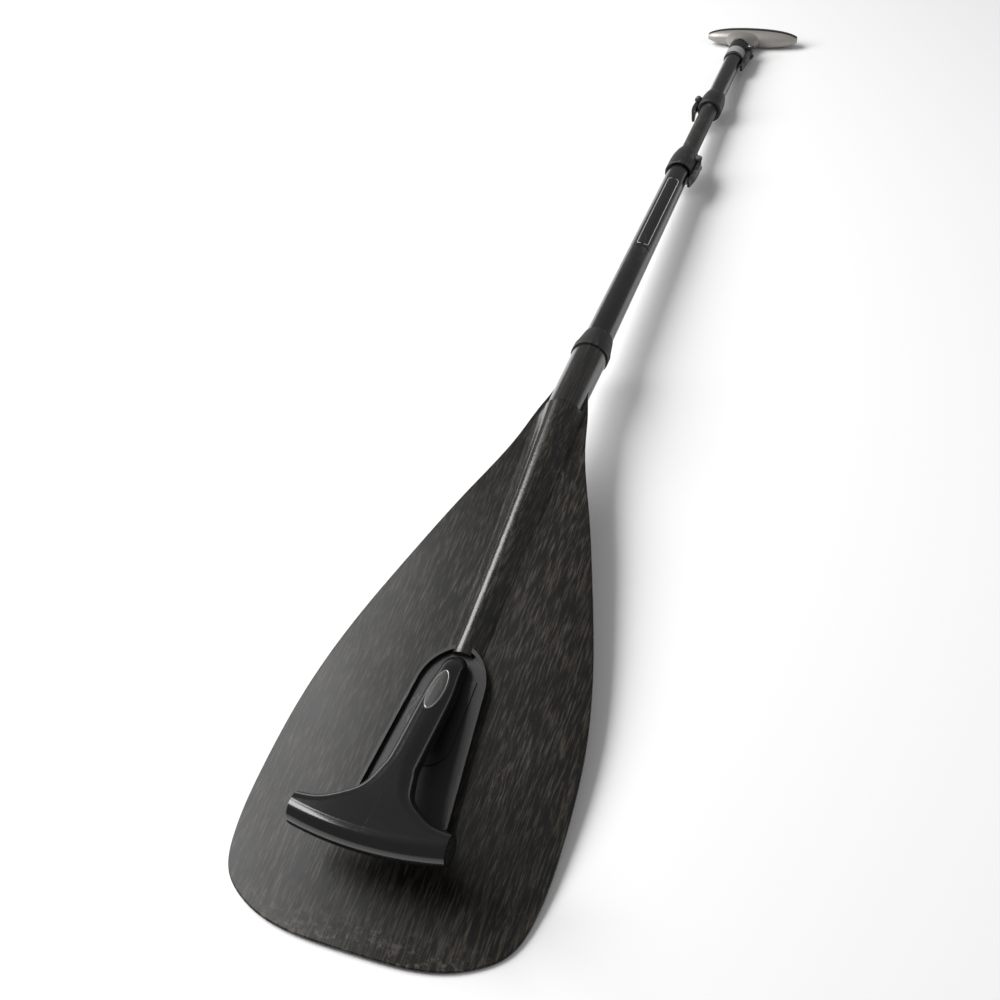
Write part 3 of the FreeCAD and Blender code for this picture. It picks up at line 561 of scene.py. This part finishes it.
class PADDLE_OT_grip(bpy.types.Operator):
    """Gloss grip on the blade, with its base, end caps, badge and mould line"""
    bl_idname = "paddle.grip"
    bl_label = "Blade grip"

    def execute(self, context):
        colours, trim = settings()[0], settings()[1]
        gloss = finish("Grip gloss", colours.grip, (0.008, 0.008, 0.0085),
                       grain=(160.0, 120.0, 0.2, 0.55), strength=0.4, rough=(0.13, 0.22), skin=1100.0,
                       skin_depth=0.00001, scuff=0.3, cover=0.45, coat=0.35, coat_rough=0.08)
        cap = finish("Grip cap", (0.008, 0.008, 0.0085), (0.016, 0.016, 0.016),
                     grain=(300.0, 300.0, 0.2, 0.55), strength=0.1, rough=(0.22, 0.3), skin=1500.0,
                     skin_depth=0.000006, scuff=0.4, cover=0.7)
        base = finish("Grip base", (0.0065, 0.0065, 0.0065), (0.014, 0.0137, 0.013),
                      grain=(300.0, 200.0, 0.2, 0.56), strength=0.4, rough=(0.3, 0.42), skin=1500.0,
                      skin_depth=0.00003, scuff=0.35)
        plate = finish("Badge metal", (0.10, 0.10, 0.099), (0.2, 0.2, 0.195),
                       grain=(2600.0, 60.0, 0.2, 0.55), strength=0.55, rough=(0.26, 0.36),
                       skin_depth=0.000006, metallic=0.7, scuff=0.25)
        silver = finish("Badge rim", (0.5, 0.5, 0.49), (0.35, 0.35, 0.34),
                        grain=(2600.0, 60.0, 0.2, 0.5), strength=0.5, rough=(0.24, 0.34),
                        skin_depth=0.000006, metallic=0.8, scuff=0.3)
        paint(gloss, "grip_lower_shell", "grip_upper_shell")
        paint(cap, "grip_end_caps")
        paint(base, "grip_base")
        paint(plate, "grip_badge")
        surface = surface_of("grip_upper_shell")
        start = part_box("grip_upper_shell")[0][1] + MOULD_END_GAP
        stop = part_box("grip_badge")[0][1] - MOULD_BADGE_GAP
        line = []
        for i in range(MOULD_STEPS + 1):
            hit = dropped(surface, MOULD_SIDE, start + (stop - start) * i / MOULD_STEPS)
            if hit is not None:
                line.append(hit - Vector((0, 0, MOULD_SUNK * trim.mould_line)))
        bead("grip_mould_line", line, False, trim.mould_line, gloss, "blade_section", "grip_gloss")
        surface = surface_of("grip_badge")
        low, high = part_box("grip_badge")
        centre = ((low[0] + high[0]) / 2, (low[1] + high[1]) / 2)
        reach = ((high[0] - low[0]) / 2 - trim.badge_inset, (high[1] - low[1]) / 2 - trim.badge_inset)
        rim = []
        for i in range(BADGE_STEPS):
            angle = 2 * math.pi * i / BADGE_STEPS
            hit = dropped(surface, centre[0] + reach[0] * math.cos(angle),
                          centre[1] + reach[1] * math.sin(angle))
            if hit is not None:
                rim.append(hit)
        bead("badge_rim", rim, True, trim.badge_line, silver, "blade_section", "badge")
        return {"FINISHED"}


class PADDLE_OT_stage(bpy.types.Operator):
    """Pale floor, soft lights, white room and camera"""
    bl_idname = "paddle.stage"
    bl_label = "Studio"

    def execute(self, context):
        values = settings()[2]
        scene = context.scene
        place, target = Vector(CAMERA_PLACE), Vector(CAMERA_TARGET)
        camera = bpy.data.cameras.new("Camera")
        camera.lens = values.lens
        camera.sensor_width = CAMERA_SENSOR
        viewer = bpy.data.objects.new("Camera", camera)
        viewer.location = place
        aim = (target - place).to_track_quat("-Z", "Y")
        viewer.rotation_mode = "QUATERNION"
        viewer.rotation_quaternion = aim @ Quaternion((0, 0, 1), values.roll)
        scene.collection.objects.link(viewer)
        scene.camera = viewer
        lamps = (("Key", values.key_power, KEY_PLACE, KEY_SIZE),
                 ("Back", BACK_SHARE * values.key_power, BACK_PLACE, BACK_SIZE),
                 ("Fill", values.fill_power, FILL_PLACE, FILL_SIZE))
        for name, power, spot, size in lamps:
            lamp = bpy.data.lights.new(name, "AREA")
            lamp.shape = "RECTANGLE"
            lamp.size, lamp.size_y = size
            lamp.energy = power
            holder = bpy.data.objects.new(name, lamp)
            holder.location = spot
            towards = Vector(LAMP_TARGET) - Vector(spot)
            holder.rotation_euler = towards.to_track_quat("-Z", "Y").to_euler()
            scene.collection.objects.link(holder)
        room = scene.world or bpy.data.worlds.new("Room")
        scene.world = room
        room.use_nodes = True
        tree = room.node_tree
        tree.nodes.clear()
        lit, seen = [node(tree, "ShaderNodeBackground", {"Color": WHITE, "Strength": strength}).outputs[0]
                     for strength in (values.sky, values.backdrop)]
        camera_ray = node(tree, "ShaderNodeLightPath").outputs["Is Camera Ray"]
        both = node(tree, "ShaderNodeMixShader", {0: camera_ray, 1: lit, 2: seen}).outputs[0]
        node(tree, "ShaderNodeOutputWorld", {"Surface": both})
        mesh = bpy.data.meshes.new("floor")
        corners = [(x * FLOOR_REACH, y * FLOOR_REACH, 0) for x, y in ((-1, -1), (1, -1), (1, 1), (-1, 1))]
        mesh.from_pydata(corners, [], [(0, 1, 2, 3)])
        floor = bpy.data.objects.new("floor", mesh)
        scene.collection.objects.link(floor)
        pale = bpy.data.materials.new("Pale floor")
        pale.use_nodes = True
        shader = pale.node_tree.nodes["Principled BSDF"]
        shader.inputs["Base Color"].default_value = FLOOR_COLOUR
        shader.inputs["Roughness"].default_value = FLOOR_ROUGHNESS
        mesh.materials.append(pale)
        scene.view_settings.view_transform = "Standard"
        return {"FINISHED"}


class PADDLE_PT_panel(bpy.types.Panel):
    """Lists the paddle's finishes"""
    bl_idname = "PADDLE_PT_panel"
    bl_label = "Paddle"
    bl_space_type = "VIEW_3D"
    bl_region_type = "UI"
    bl_category = "Paddle"

    def draw(self, context):
        for operator in OPERATORS:
            self.layout.operator(operator.bl_idname)
        for group in settings():
            for name in group.__annotations__:
                self.layout.prop(group, name)


GROUPS = (PaddleColours, PaddleTrim, PaddleStage)
OPERATORS = (PADDLE_OT_stage, PADDLE_OT_blade, PADDLE_OT_tubes, PADDLE_OT_label, PADDLE_OT_clamps,
             PADDLE_OT_handle, PADDLE_OT_grip)


def register():
    for item in GROUPS + OPERATORS + (PADDLE_PT_panel,):
        bpy.utils.register_class(item)
    bpy.types.Scene.paddle_colours = PointerProperty(type=PaddleColours)
    bpy.types.Scene.paddle_trim = PointerProperty(type=PaddleTrim)
    bpy.types.Scene.paddle_stage = PointerProperty(type=PaddleStage)


def unregister():
    del bpy.types.Scene.paddle_colours, bpy.types.Scene.paddle_trim, bpy.types.Scene.paddle_stage
    for item in reversed(GROUPS + OPERATORS + (PADDLE_PT_panel,)):
        bpy.utils.unregister_class(item)


def main():
    register()
    bpy.ops.paddle.stage()
    bpy.ops.paddle.blade()
    bpy.ops.paddle.tubes()
    bpy.ops.paddle.label()
    bpy.ops.paddle.clamps()
    bpy.ops.paddle.handle()
    bpy.ops.paddle.grip()


if __name__ == "__main__":
    main()
